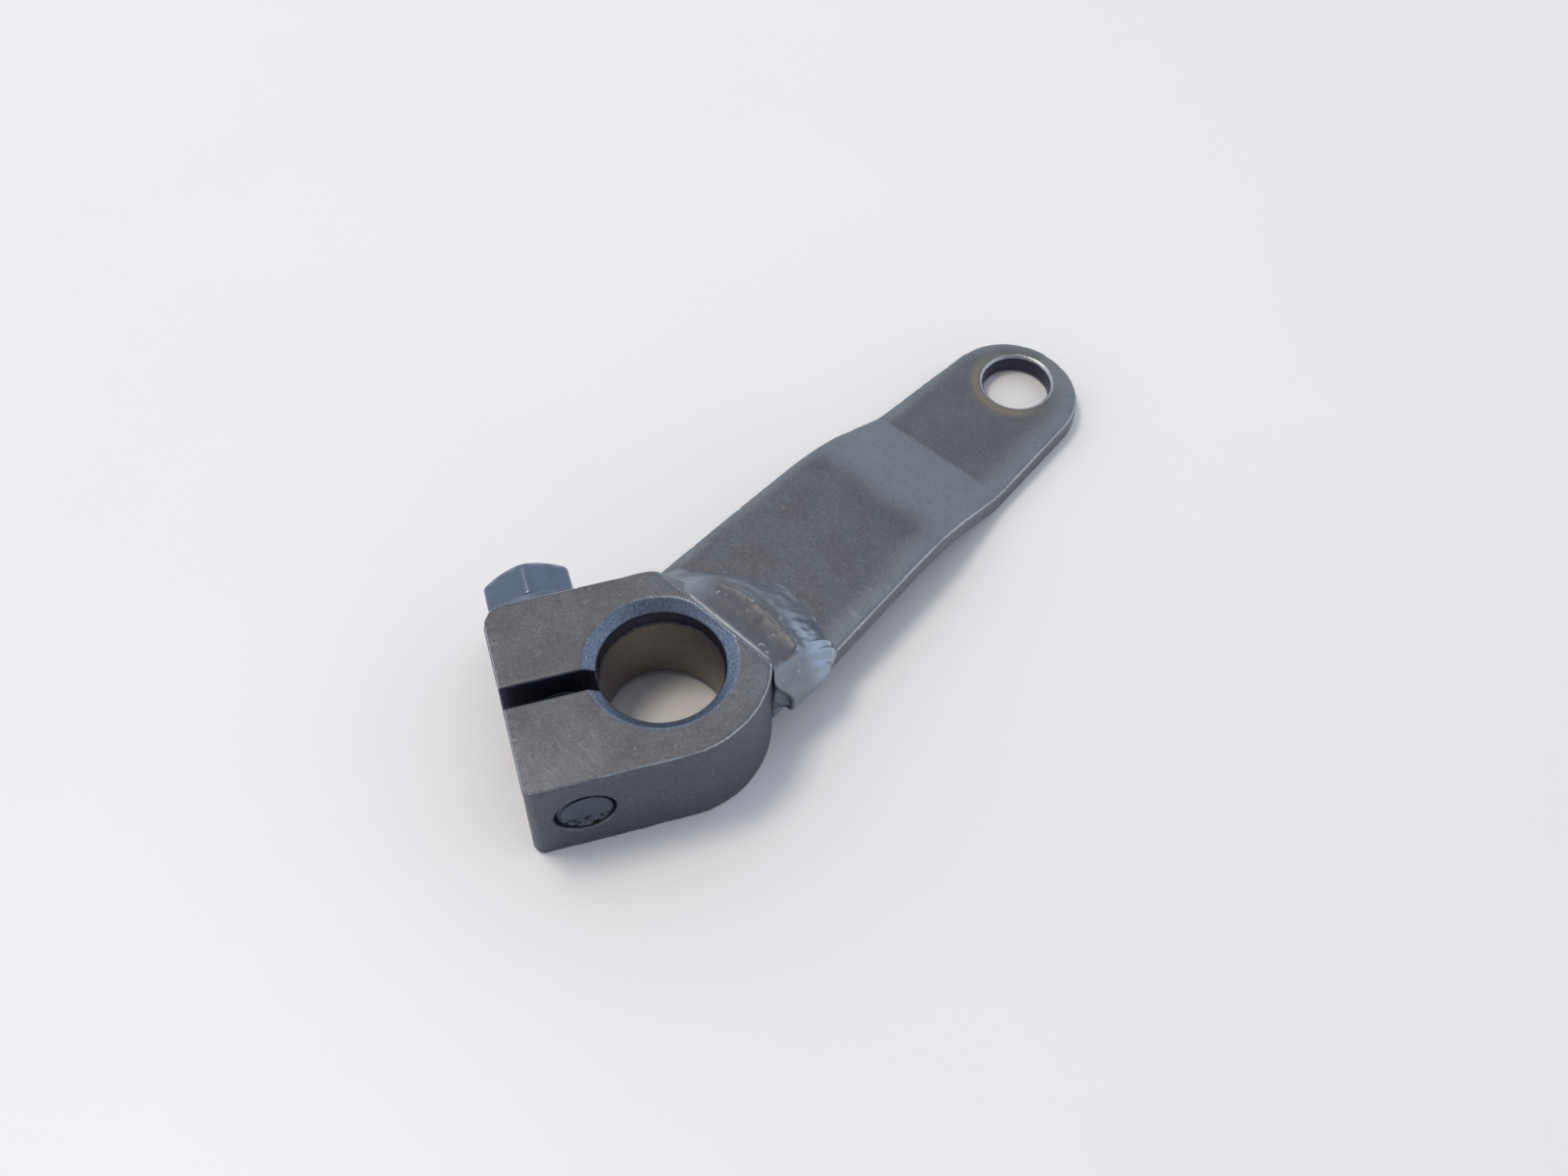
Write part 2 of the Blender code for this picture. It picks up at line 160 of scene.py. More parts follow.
# Pinch bolt and washer, measured out from the bore along the bolt, with a hair of room at each seat.
SEAT = 0.03
WASHER_RADIUS = 7.3
WASHER_THICKNESS = 1.6
WASHER_STEPS = 160
BOLT_PITCH = 1.25
BOLT_RADIUS = 4.0
BOLT_END = 0.08 - BLOCK_HALF_WIDTH
BOLT_STEPS = 180
BOLT_TIP_RADIUS = 3.4
BOLT_TIP_CHAMFER = 0.45
THREAD_DEPTH = 0.77
THREAD_ROW = 0.125
HEAD_FLAT = 6.0
HEAD_CORNER = HEAD_FLAT / math.cos(math.pi / 6)
HEAD_CORNER_WORN = HEAD_CORNER - 0.18
HEAD_HEIGHT = 5.65
HEAD_SEAT = BLOCK_HALF_WIDTH + 2 * SEAT + WASHER_THICKNESS
HEAD_TOP = HEAD_SEAT + HEAD_HEIGHT
HEAD_CROWN = 0.96 * HEAD_FLAT
HEAD_DISH = 0.1
HEAD_CHAMFER = math.tan(math.radians(24.0))
HEAD_TURN = math.radians(27.0)

# The grids that the surfaces are drawn on, and how many hills there are before their pattern repeats.
CLAMP_CELL = 0.27
ARM_CELL = 0.27
WELD_CELL = 0.2
HILLS_REPEAT = 32


# Shaping --------------------------------------------------------------------------------------------------


def hills(x, y, z, size, seed):
    """Smooth random hills from -1 to 1, about as wide as size says, in one number or along x, y and z."""
    table = np.random.default_rng(seed).uniform(-1.0, 1.0, (HILLS_REPEAT, HILLS_REPEAT, HILLS_REPEAT))
    cells, shares = [], []
    for place, width in zip((x, y, z), np.broadcast_to(size, 3)):
        cell = np.floor(place / width)
        share = place / width - cell
        cells.append(cell.astype(int))
        shares.append(share * share * (3.0 - 2.0 * share))
    total = 0.0
    for corner in np.ndindex(2, 2, 2):
        weight = 1.0
        for share, side in zip(shares, corner):
            weight = weight * (share if side else 1.0 - share)
        i, j, k = ((cell + side) % HILLS_REPEAT for cell, side in zip(cells, corner))
        total = total + weight * table[i, j, k]
    return total


def plan_hills(x, y, size, seed):
    """Hills that are the same all the way up."""
    return hills(x, y, 0.0 * x, size, seed)


def step(value, low, high):
    """Rises smoothly from 0 at low to 1 at high."""
    share = np.clip((value - low) / (high - low), 0.0, 1.0)
    return share * share * (3.0 - 2.0 * share)


def fade(value, low, high):
    """Falls smoothly from 1 at low to 0 at high."""
    return 1.0 - step(value, low, high)


def swell(value, centre, width):
    """A soft bump of 1 at the centre, gone about two widths away."""
    return np.exp(-(((value - centre) / width) ** 2))


def run_past(value, blend):
    """Zero before a bend and the distance past it after, turning smoothly between."""
    return 0.5 * (value + np.sqrt(value**2 + blend**2))


def within(first, second, radius):
    """What two shapes share, its edge rounded to a radius."""
    round_part = np.hypot(np.maximum(first + radius, 0.0), np.maximum(second + radius, 0.0))
    return np.minimum(-radius, np.maximum(first, second)) + round_part


def joined(first, second, blend):
    """Two shapes run together, with a soft fillet of about blend between them."""
    share = np.clip(0.5 + 0.5 * (second - first) / blend, 0.0, 1.0)
    return second + (first - second) * share - blend * share * (1.0 - share)


def slope_of(shape, points, reach=0.02):
    """Which way the distance grows, at each point."""
    grown = np.empty_like(points)
    for axis in range(3):
        shift = np.zeros(3)
        shift[axis] = reach
        grown[:, axis] = shape(*(points + shift).T) - shape(*(points - shift).T)
    return grown / (2.0 * reach)


def outward_of(shape, points):
    """The way out of a shape at each point, one unit long."""
    slope = slope_of(shape, points)
    return slope / np.linalg.norm(slope, axis=1)[:, None]


def settle(shape, points):
    """Moves points straight onto the surface of a shape."""
    for _ in range(3):
        slope = slope_of(shape, points)
        steep = np.maximum((slope**2).sum(1), 0.25)
        points = points - slope * (shape(*points.T) / steep)[:, None]
    return points


def crossed_cells(inside):
    """Which cells of a grid have some corners inside a shape and some outside it."""
    count = 0
    for corner in np.ndindex(2, 2, 2):
        shifted = tuple(slice(side, size - 1 + side) for side, size in zip(corner, inside.shape))
        count = count + inside[shifted]
    return (count > 0) & (count < 8)


def cell_points(field, cells):
    """One point in each crossed cell: the mean of where the surface cuts its edges, counted in cells."""
    total = np.zeros(cells.shape)
    hits = np.zeros(len(cells))
    for axis in range(3):
        ahead = np.eye(3, dtype=int)[axis]
        for corner in np.ndindex(2, 2, 2):
            if corner[axis]:
                continue
            here = field[tuple((cells + corner).T)]
            there = field[tuple((cells + corner + ahead).T)]
            cuts = (here < 0.0) != (there < 0.0)
            share = here[cuts] / (here[cuts] - there[cuts])
            total[cuts] += np.array(corner) + share[:, None] * ahead
            hits[cuts] += 1
    return cells + total / hits[:, None]


def cell_quads(inside, number):
    """One quad for each grid edge that the surface cuts, through the points of the four cells round it."""
    quads = []
    for axis in range(3):
        side, rise = np.roll(np.eye(3, dtype=int), -axis, axis=0)[1:]
        all_but_last, all_but_first = [slice(None)] * 3, [slice(None)] * 3
        all_but_last[axis] = slice(None, -1)
        all_but_first[axis] = slice(1, None)
        lower, upper = inside[tuple(all_but_last)], inside[tuple(all_but_first)]
        edges = np.argwhere(lower != upper)
        ring = [edges - side - rise, edges - rise, edges, edges - side]
        faces = np.stack([number[tuple(around.T)] for around in ring], axis=1)
        outward = lower[tuple(edges.T)]
        quads.append(np.where(outward[:, None], faces, faces[:, ::-1]))
    return np.concatenate(quads)


def evened(shape, points, quads):
    """The points drawn towards the middles of their quads and settled on the shape again, three times."""
    weight = np.bincount(quads.ravel(), minlength=len(points))
    for _ in range(3):
        centres = np.repeat(points[quads].mean(1), 4, axis=0)
        sums = [np.bincount(quads.ravel(), centres[:, axis], len(points)) for axis in range(3)]
        average = np.stack(sums, axis=1) / weight[:, None]
        points = settle(shape, 0.5 * (points + average))
    return points


def skin(shape, low, high, cell):
    """(points, quads) of a closed surface round a shape, which gives distances in mm, negative inside."""
    axes = [np.arange(start - 2.0 * cell, end + 3.0 * cell, cell) for start, end in zip(low, high)]
    field = shape(*np.meshgrid(*axes, indexing="ij", sparse=True))
    field = np.broadcast_to(field, [len(axis) for axis in axes])
    inside = field < 0.0
    crossed = crossed_cells(inside)
    number = np.full(crossed.shape, -1)
    number[crossed] = np.arange(crossed.sum())
    points = np.array([axis[0] for axis in axes]) + cell_points(field, np.argwhere(crossed)) * cell
    quads = cell_quads(inside, number)
    return evened(shape, points, quads), quads


def piece(name, points, faces, place, marks):
    """A named object from points in a piece's own millimetres, with the marks that its material reads."""
    mesh = bpy.data.meshes.new(name)
    world = points @ np.array(place.to_3x3()).T + np.array(place.translation)
    mesh.from_pydata(world.tolist(), [], [list(map(int, face)) for face in faces])
    for mark, values in marks.items():
        kept = mesh.attributes.new(mark, "FLOAT", "POINT")
        kept.data.foreach_set("value", np.clip(values, 0.0, 1.0).astype(np.float32))
    mesh.shade_smooth()
    made = bpy.data.objects.new(name, mesh)
    bpy.context.scene.collection.objects.link(made)
    return made


# Clamp block ----------------------------------------------------------------------------------------------


def chord_at(across_arm):
    """Where the weld preparation starts on the block's top, measured along the arm."""
    return PREP_CHORD + PREP_SKEW * across_arm


def to_arm(x, y):
    """Clamp places, as places along and across the arm."""
    turn = math.atan2(along_slot.y, along_slot.x)
    return x * math.cos(turn) - y * math.sin(turn), x * math.sin(turn) + y * math.cos(turn)


def block_side(x, y):
    """Distance in plan from the block's outline: a round end, and two jaws with different corners."""
    corner = np.where(y < 0.0, BACK_CORNER, FRONT_CORNER)
    end = x - (BLOCK_REACH - corner)
    side = np.abs(y) - (BLOCK_HALF_WIDTH - corner)
    past_corner = np.hypot(np.maximum(end, 0.0), np.maximum(side, 0.0))
    jaws = past_corner + np.minimum(np.maximum(end, side), 0.0) - corner
    return np.where(x < 0.0, np.hypot(x, y) - BLOCK_HALF_WIDTH, jaws)


def bored(block, x, y, z, edge):
    """A block with the bore through it, flared at both ends, its wider mouth ending in a ragged step."""
    distance = np.hypot(x, y)
    flare_top = BLOCK_HEIGHT - BORE_FLARE_DEPTH
    steep = BORE_FLARE / BORE_FLARE_DEPTH
    lean = 1.0 / math.hypot(1.0, steep)
    mouth_end = z - flare_top + BORE_MOUTH_DEPTH + BORE_MOUTH_RAGGED * plan_hills(x, y, 1.6, 11)
    upper_flare = (BORE_MOUTH_RADIUS + steep * (z - flare_top) - distance) * lean
    lower_flare = (BORE_RADIUS + steep * (BORE_FLARE_DEPTH - z) - distance) * lean
    for cut, radius in (
        (np.minimum(BORE_MOUTH_RADIUS - distance, mouth_end), BORE_MOUTH_EDGE),
        (BORE_RADIUS - distance, BORE_EDGE),
        (upper_flare, BORE_FLARE_EDGE),
        (lower_flare, BORE_FLARE_EDGE),
    ):
        block = within(block, cut, radius * edge)
    return block


def clamp_shape(x, y, z, edge=1.0):
    """The split block: its outline, the weld preparation, the bore, the saw slot and the bolt's hole."""
    slab = np.abs(z - BLOCK_HEIGHT / 2) - BLOCK_HEIGHT / 2
    worn = BLOCK_EDGE + BLOCK_EDGE_WEAR * hills(x, y, z, (2.1, 2.1, 3.0), 3)
    block = within(block_side(x, y), slab, worn * edge)
    along, across = to_arm(x, y)
    prepared = (along - chord_at(across) + z - BLOCK_HEIGHT) * math.sqrt(0.5)
    block = bored(within(block, prepared, PREP_EDGE * edge), x, y, z, edge)
    slot = np.minimum(SLOT_HALF_WIDTH - np.abs(y), x)
    hole = BOLT_HOLE_RADIUS - np.hypot(x - BOLT_FROM_BORE, z - BLOCK_HEIGHT / 2)
    return within(within(block, slot, SAWN_EDGE * edge), hole, SAWN_EDGE * edge)


def make_clamp_block():
    """The block, with saw marks on its slotted end, nicks along its edges and dents in its faces."""
    low = (-BLOCK_HALF_WIDTH, -BLOCK_HALF_WIDTH, 0.0)
    high = (BLOCK_REACH, BLOCK_HALF_WIDTH, BLOCK_HEIGHT)
    points, quads = skin(clamp_shape, low, high, CLAMP_CELL)
    x, y, z = points.T
    outward = outward_of(clamp_shape, points)
    rounded_off = -clamp_shape(x, y, z, edge=0.0)
    distance = np.hypot(x, y)
    flare_rim = BORE_MOUTH_RADIUS + BORE_FLARE
    flare_top = BLOCK_HEIGHT - BORE_FLARE_DEPTH
    sawn_end = step(x, BLOCK_REACH - 1.2, BLOCK_REACH - 0.5)
    in_slot = fade(np.abs(y), SLOT_HALF_WIDTH + 0.05, SLOT_HALF_WIDTH + 0.25)
    in_slot *= step(x, BORE_RADIUS, BORE_RADIUS + 0.6)
    open_face = step(distance, flare_rim - 0.3, flare_rim)
    nicked = step(rounded_off, 0.02, 0.1) * step(hills(x, y, z, 0.9, 7), 0.35, 0.9)
    dented = open_face * step(hills(x, y, z, 1.3, 8), 0.62, 0.9)
    cut = END_SAW_DEPTH * sawn_end * (hills(x, y, z, (9.0, 0.55, 7.0), 5) - 0.6)
    cut += SLOT_SAW_DEPTH * in_slot * hills(x, y, z, (0.5, 9.0, 6.0), 6)
    cut += BLASTED_DEPTH * open_face * hills(x, y, z, 0.6, 9)
    cut -= NICK_DEPTH * nicked + DENT_DEPTH * dented
    points = points + outward * np.minimum(cut, 0.0)[:, None]
    in_bore = fade(distance, BORE_MOUTH_RADIUS + 0.02, BORE_MOUTH_RADIUS + 0.2)
    flare = fade(distance, flare_rim - 0.05, flare_rim + 0.15) - in_bore
    polished = fade(distance, BORE_RADIUS + 0.06, BORE_RADIUS + 0.16) * fade(z, flare_top - 0.5, flare_top)
    flat = step(outward[:, 2], 0.85, 0.97) * (1.0 - flare)
    handled = step(x, 4.0, 12.0) * step(y, 1.0, 4.0) * (0.4 + 0.5 * hills(x, y, z, 5.0, 13))
    marks = {
        "edge": step(rounded_off, 0.0, 0.08),
        "soot": flat * (0.95 + 0.4 * hills(x, y, z, 6.0, 12)),
        "rubbed": flat * handled,
        "turned": flare,
        "polished": polished,
        "raw": np.maximum(in_bore * (1.0 - polished), in_slot),
        # Upright faces take the darker side colour: painted shade, as they face away from the light overhead.
        "side": step(1.0 - np.abs(outward[:, 2]), 0.3, 0.8) * (1.0 - in_bore),
    }
    return piece("clamp_block_worn", points, quads, CLAMP_FRAME, marks)


# Lever arm ------------------------------------------------------------------------------------------------


def arm_base(x):
    """Height of the arm's underside: a soft upper bend and a crisp lower one."""
    run = run_past(x - JOGGLE_TOP, JOGGLE_TOP_BLEND) - run_past(x - JOGGLE_FOOT, JOGGLE_FOOT_BLEND)
    return np.maximum(ARM_DROP * (1.0 - run / (JOGGLE_FOOT - JOGGLE_TOP)), 0.0)


def arm_side(x, y):
    """Distance in plan from the arm's outline: two tapering edges, then the round of the eye."""
    half = np.where(y > 0.0, np.interp(x, *zip(*ARM_BACK)), np.interp(x, *zip(*ARM_FRONT)))
    round_eye = np.hypot(x - EYE_CENTRE, y + EYE_ASIDE) - EYE_RADIUS
    return np.where(x > EYE_CENTRE, round_eye, np.abs(y) - half)


def arm_shape(x, y, z, edge=1.0):
    """The joggled strap, coped round the block, with the flared hole of its eye."""
    base = arm_base(x)
    lean = 1.0 / np.sqrt(1.0 + (arm_base(x + 0.5) - arm_base(x - 0.5)) ** 2)
    slab = (np.abs(z - base - ARM_THICKNESS / 2) - ARM_THICKNESS / 2) * lean
    worn = np.where(y > 0.0, 0.6, 1.0) * ARM_EDGE + ARM_EDGE_WEAR * plan_hills(x, y, 5.0, 21)
    arm = within(arm_side(x, y) + 0.0 * z, slab, worn * edge)
    cope = BLOCK_HALF_WIDTH - 0.02 - np.hypot(x, y)
    start = ARM_START + ARM_START_FRONT * step(-y, 10.6, 12.6) - x
    distance = np.hypot(x - EYE_FROM_BORE, y)
    flare = EYE_HOLE_RADIUS + EYE_HOLE_FLARE - distance
    for cut, radius in (
        (cope, 0.2),
        (start, 0.3),
        (EYE_HOLE_RADIUS - distance, 0.04),
        ((flare + z - base - ARM_THICKNESS) * math.sqrt(0.5), 0.1),
        ((flare - z + base) * math.sqrt(0.5), 0.1),
    ):
        arm = within(arm, cut, radius * edge)
    return arm


def make_lever_arm():
    """The strap, with a die-struck waviness, small pits and sheared flanks."""
    low = (ARM_START, -BLOCK_HALF_WIDTH, 0.0)
    high = (EYE_TIP, BLOCK_HALF_WIDTH, ARM_TOP)
    points, quads = skin(arm_shape, low, high, ARM_CELL)
    x, y, z = points.T
    outward = outward_of(arm_shape, points)
    rounded_off = -arm_shape(x, y, z, edge=0.0)
    distance = np.hypot(x - EYE_FROM_BORE, y)
    flank = step(arm_side(x, y), -0.6, -0.1)
    cut = ARM_GRAIN_DEPTH * hills(x, y, z, 0.7, 22) + ARM_WAVE_DEPTH * hills(x, y, z, 4.0, 23)
    cut -= ARM_PIT_DEPTH * step(hills(x, y, z, 1.1, 24), 0.66, 0.9)
    cut -= FLANK_NICK_DEPTH * flank * step(hills(x, y, z, (1.2, 1.2, 0.5), 25), 0.3, 0.8)
    points = points + outward * np.minimum(cut, 0.0)[:, None]
    face = step(np.abs(outward[:, 2]), 0.85, 0.97)
    flare_rim = EYE_HOLE_RADIUS + EYE_HOLE_FLARE
    in_hole = fade(distance, EYE_HOLE_RADIUS + 0.02, EYE_HOLE_RADIUS + 0.12)
    soft = 0.9 * hills(x, y, z, 5.0, 26)
    inset = soft - arm_side(x, y)
    # Brown is kept off a band along each edge, wider at the front, and off the joggle's slope, so these show
    # lighter blue-grey.
    sooty = 0.95 * step(inset, np.where(y > 0.0, 0.4, 1.2), np.where(y > 0.0, 2.4, 5.4))
    on_joggle = step(x, 43.0 + soft, 49.0 + soft) * fade(x, JOGGLE_FOOT - 0.3, JOGGLE_FOOT + 0.5)
    around = np.arctan2(y, EYE_FROM_BORE - x)
    washer_print = swell(distance, EYE_HOLE_RADIUS + 1.25, 0.75)
    washer_print *= 0.15 + 0.85 * step(np.cos(around - 0.3), -0.3, 0.8)
    marks = {
        "edge": step(rounded_off, 0.02, 0.2),
        "soot": sooty * (1.0 - on_joggle) * face,
        "raw": in_hole,
        "bare": fade(distance, flare_rim - 0.02, flare_rim + 0.22) - in_hole,
        "stain": washer_print * face,
        # The arm's sides take a share of the darker side colour: painted shade.
        "side": 0.4 * fade(np.abs(outward[:, 2]), 0.2, 0.7),
    }
    return piece("lever_arm_pressed", points, quads, ARM_FRAME, marks)


# Welds ----------------------------------------------------------------------------------------------------


def weld_toe(y):
    """How far along the arm the upper weld reaches."""
    off = y + WELD_REACH_ASIDE
    toward_back = WELD_BACK_SLANT * (np.sqrt(off**2 + WELD_BACK_BLEND**2) - WELD_BACK_BLEND)
    return WELD_REACH - np.where(off < 0.0, WELD_FRONT_CURVE * off**2, toward_back)


def weld_ripple(x, y):
    """The waves that drops of the arc leave, from -1 to 1."""
    wander = 1.5 * plan_hills(x, y, 3.0, 32)
    return np.sin(2.0 * math.pi * (y + 0.25 * (x - chord_at(y))) / RIPPLE_SPACING + wander)


def upper_weld_top(x, y, toe):
    """Height of the upper weld: a groove by the block, a dished crown, a ridge, a rippled fall to its toe."""
    past_block = x - chord_at(y)
    share = np.clip(past_block / (toe - chord_at(y)), 0.0, 1.15)
    kept_height = 1.0 - 0.86 * step(y, 4.0, 13.4) - 0.3 * step(-y, 11.5, 14.5)
    fall = 0.22 * share + 0.74 * np.clip((share - 0.42) / 0.58, 0.0, 1.0) ** 1.1
    crown = (BLOCK_HEIGHT - 0.1 - ARM_TOP) * kept_height * (1.0 - fall)
    uneven = 0.3 * plan_hills(x, y, 3.2, 33) + 0.12 * plan_hills(x, y, 1.1, 34)
    uneven = uneven * step(past_block, 0.3, 3.0)
    ripples = 0.15 * weld_ripple(x, y) * step(-y, 2.0, 11.0) * step(share, 0.3, 0.6)
    groove = 0.2 * swell(past_block, 0.25, 0.35)
    dish = 0.3 * swell(share, 0.24, 0.14) * fade(y, 1.0, 7.0)
    ridge = 0.42 * swell(share, 0.46, 0.06) * fade(y, -2.0, 7.0)
    return ARM_TOP + crown + uneven + ripples + ridge - groove - dish


def upper_weld_shape(x, y, z):
    """The bead between the arm's top and the block's prepared edge, with a lump hung over the front edge."""
    toe = weld_toe(y) + 0.22 * plan_hills(x, y, 1.5, 31)
    top = np.minimum(upper_weld_top(x, y, toe), BLOCK_HEIGHT - 0.02)
    bead = within((z - top) * 0.78, (x - toe) * 0.9, 0.25)
    side = arm_side(x, y) + np.where(y > 0.0, 0.4, -0.3)
    bead = within(bead, side, np.where(y > 0.0, 1.2, 1.2 + 3.4 * step(-y, 0.0, 6.0)))
    prepared = (chord_at(y) - x + BLOCK_HEIGHT - z) * math.sqrt(0.5) - 0.35
    overlap = 0.4 - (0.62 + 0.12 * hills(x, y, z, 1.0, 38)) * step(-y, 10.4, 12.0)
    round_side = BLOCK_HALF_WIDTH - overlap - np.hypot(x, y)
    bead = within(bead, np.minimum(prepared, round_side), 0.1)
    bead = within(bead, 8.2 + 2.4 * step(-y, 11.0, 13.0) * fade(z, 8.5, 14.8) - x, 0.4)
    bead = within(bead, ARM_DROP + 1.0 - z + 1.2 * step(y, -12.5, -11.5), 0.8)
    lump_axes = zip((x, y, z), LUMP_MIDDLE, LUMP_REACH)
    lump = np.sqrt(sum(((at - centre) / reach) ** 2 for at, centre, reach in lump_axes)) - 1.0
    lump = within(lump * 2.0 + 0.2 * weld_ripple(x, y), round_side, 0.3)
    return joined(bead, lump, LUMP_BLEND)


def make_upper_weld():
    """The weld on top of the arm, with a pitted crown and glassy ripples over its front."""
    low = (4.5, -15.0, ARM_DROP)
    high = (24.5, 14.5, BLOCK_HEIGHT + 0.2)
    points, quads = skin(upper_weld_shape, low, high, WELD_CELL)
    x, y, z = points.T
    outward = outward_of(upper_weld_shape, points)
    share = (x - chord_at(y)) / (weld_toe(y) - chord_at(y))
    crown = step(share, 0.02, 0.08) * fade(share + 0.1 * hills(x, y, z, 2.5, 35), 0.44, 0.6)
    crown *= fade(y + 2.0 * hills(x, y, z, 3.0, 37), 2.0, 7.0)
    pits = crown * step(hills(x, y, z, 0.55, 36), 0.4, 0.8)
    points = points - outward * (WELD_PIT_DEPTH * pits)[:, None]
    ridge_highlight = 0.5 * swell(share, 0.47, 0.03) * step(hills(x, y, z, 1.2, 39), 0.0, 0.6)
    marks = {
        "soot": crown * step(outward[:, 2], 0.6, 0.9),
        # The glassy front is also painted lighter blue-grey: partly its own tint, partly painted highlight.
        "gloss_and_highlight": step(-y, 4.0, 11.5) * step(share, 0.4, 0.75),
        "dent": pits,
        # The bright line at the toe and the speckled one along the ridge are painted highlights of those
        # edges; a fainter bright line runs along the foot at the block.
        "edge": swell(share, 0.99, 0.024) + 0.4 * swell(share, 0.0, 0.015) + ridge_highlight,
    }
    return piece("weld_bead_top_run", points, quads, ARM_FRAME, marks)


def lower_weld_shape(x, y, z):
    """The fillet under the arm, round the block's end."""
    distance, angle = np.hypot(x, y), np.arctan2(y, x)
    ripple = 0.12 * np.sin(angle * 60.0 + 2.0 * hills(x, y, z, 3.0, 42))
    leg = LOWER_LEG + ripple + 0.25 * hills(x, y, z, 2.5, 41)
    bead = np.hypot(distance - BLOCK_HALF_WIDTH, ARM_DROP - z) - leg
    bead = within(bead, BLOCK_HALF_WIDTH - 0.4 - distance, 0.2)
    bead = within(bead, z - ARM_DROP - 0.4, 0.2)
    return within(bead, np.abs(y - LOWER_ASIDE) - LOWER_HALF_WIDTH, 1.4)


def make_lower_weld():
    """The weld under the arm, glossy in uneven patches, which are also painted lighter as a highlight."""
    low = (4.0, -13.5, 0.8)
    high = (19.5, 13.5, ARM_DROP + 0.5)
    points, quads = skin(lower_weld_shape, low, high, WELD_CELL)
    marks = {"gloss_and_highlight": 0.4 + 0.3 * hills(*points.T, 3.0, 43)}
    return piece("weld_bead_bottom_run", points, quads, ARM_FRAME, marks)


# Pinch bolt and washer ------------------------------------------------------------------------------------


def angles_of(steps):
    """Even angles once round."""
    return 2.0 * math.pi * np.arange(steps) / steps


def turned(rows, steps, closed=False):
    """(points, quads) from rows of radius and height, each one number or a number for every step round."""
    angles = angles_of(steps)
    rings = [
        np.stack([radius * np.cos(angles), radius * np.sin(angles), height + 0.0 * angles], axis=1)
        for radius, height in rows
    ]
    here = np.arange(steps)
    beside = (here + 1) % steps
    quads = []
    for i in range(len(rings) if closed else len(rings) - 1):
        row, next_row = i * steps, (i + 1) % len(rings) * steps
        quads.append(np.stack([row + here, row + beside, next_row + beside, next_row + here], axis=1))
    return np.concatenate(rings), np.concatenate(quads)


def make_bolt_washer():
    """A punched washer: rounded over at its outer top edge, burred below."""
    angles = angles_of(WASHER_STEPS)
    wobble = 0.04 * np.sin(3.0 * angles + 1.0) + 0.02 * np.sin(7.0 * angles)
    low = BLOCK_HALF_WIDTH + SEAT
    high = low + WASHER_THICKNESS
    outer, inner = WASHER_RADIUS - 0.05, BOLT_RADIUS + 0.3
    rolled = 0.4
    section = [(inner, low + 0.15), (inner + 0.12, low + 0.03), (inner + 0.5, low)]
    section += [(outer - 0.6, low), (outer - 0.25, low), (outer - 0.05, low + 0.04), (outer, low + 0.15)]
    section += [(outer, low + share * WASHER_THICKNESS) for share in (0.25, 0.4, 0.55, 0.68)]
    for turn in np.linspace(0.0, 1.0, 7) * math.pi / 2:
        section.append((outer - rolled + rolled * math.cos(turn), high - rolled + rolled * math.sin(turn)))
    section += [(outer - share * (outer - inner), high) for share in (0.2, 0.35, 0.5, 0.65, 0.8)]
    section += [(inner + 0.3, high - 0.02), (inner + 0.08, high - 0.12)]
    section += [(inner, high - 0.3), (inner, low + 0.8)]
    rows = [(radius + wobble * (radius > inner + 1.0), height) for radius, height in section]
    points, quads = turned(rows, WASHER_STEPS, closed=True)
    x, y, z = points.T
    marks = {"edge": step(np.hypot(x, y), outer - 0.35, outer - 0.1) * step(z, high - 0.5, high - 0.1)}
    return piece("bolt_washer_punched", points, quads, BOLT_FRAME, marks)


def head_rows(angles):
    """Rows of the forged head: from the middle of its dished top, over its chamfer and down to its seat."""
    off_flat = (angles - HEAD_TURN) % (math.pi / 3) - math.pi / 6
    hexagon = HEAD_CORNER_WORN - run_past(HEAD_CORNER_WORN - HEAD_FLAT / np.cos(off_flat), 0.22)
    rows = [(0.001, HEAD_TOP - HEAD_DISH)]
    for share in (0.2, 0.4, 0.55, 0.65, 0.75, 0.9):
        rows.append((HEAD_CROWN * share, HEAD_TOP - HEAD_DISH + HEAD_DISH * step(share, 0.55, 0.75)))
    rim = HEAD_CROWN + 0.08
    rows += [(HEAD_CROWN - 0.08, HEAD_TOP - 0.01), (rim, HEAD_TOP - 0.06)]
    for share in (0.25, 0.5, 0.75, 0.9):
        radius = rim + (hexagon - rim) * share
        rows.append((radius, HEAD_TOP - 0.02 - (radius - HEAD_CROWN) * HEAD_CHAMFER))
    shoulder = HEAD_TOP - 0.1 - (hexagon - HEAD_CROWN) * HEAD_CHAMFER
    rows.append((hexagon, shoulder - 0.05))
    for share in (0.15, 0.35, 0.55, 0.75, 0.92):
        barrelled = hexagon + 0.05 * math.sin(math.pi * share) - 0.03
        rows.append((barrelled, shoulder + (HEAD_SEAT + 0.35 - shoulder) * share))
    rows += [(hexagon, HEAD_SEAT + 0.3), (hexagon - 0.15, HEAD_SEAT + 0.2)]
    rows += [(HEAD_FLAT - 0.3, HEAD_SEAT + 0.15), (HEAD_FLAT - 0.4, HEAD_SEAT + 0.02)]
    rows += [(HEAD_FLAT - 0.55, HEAD_SEAT), (BOLT_RADIUS + 0.25, HEAD_SEAT)]
    return rows


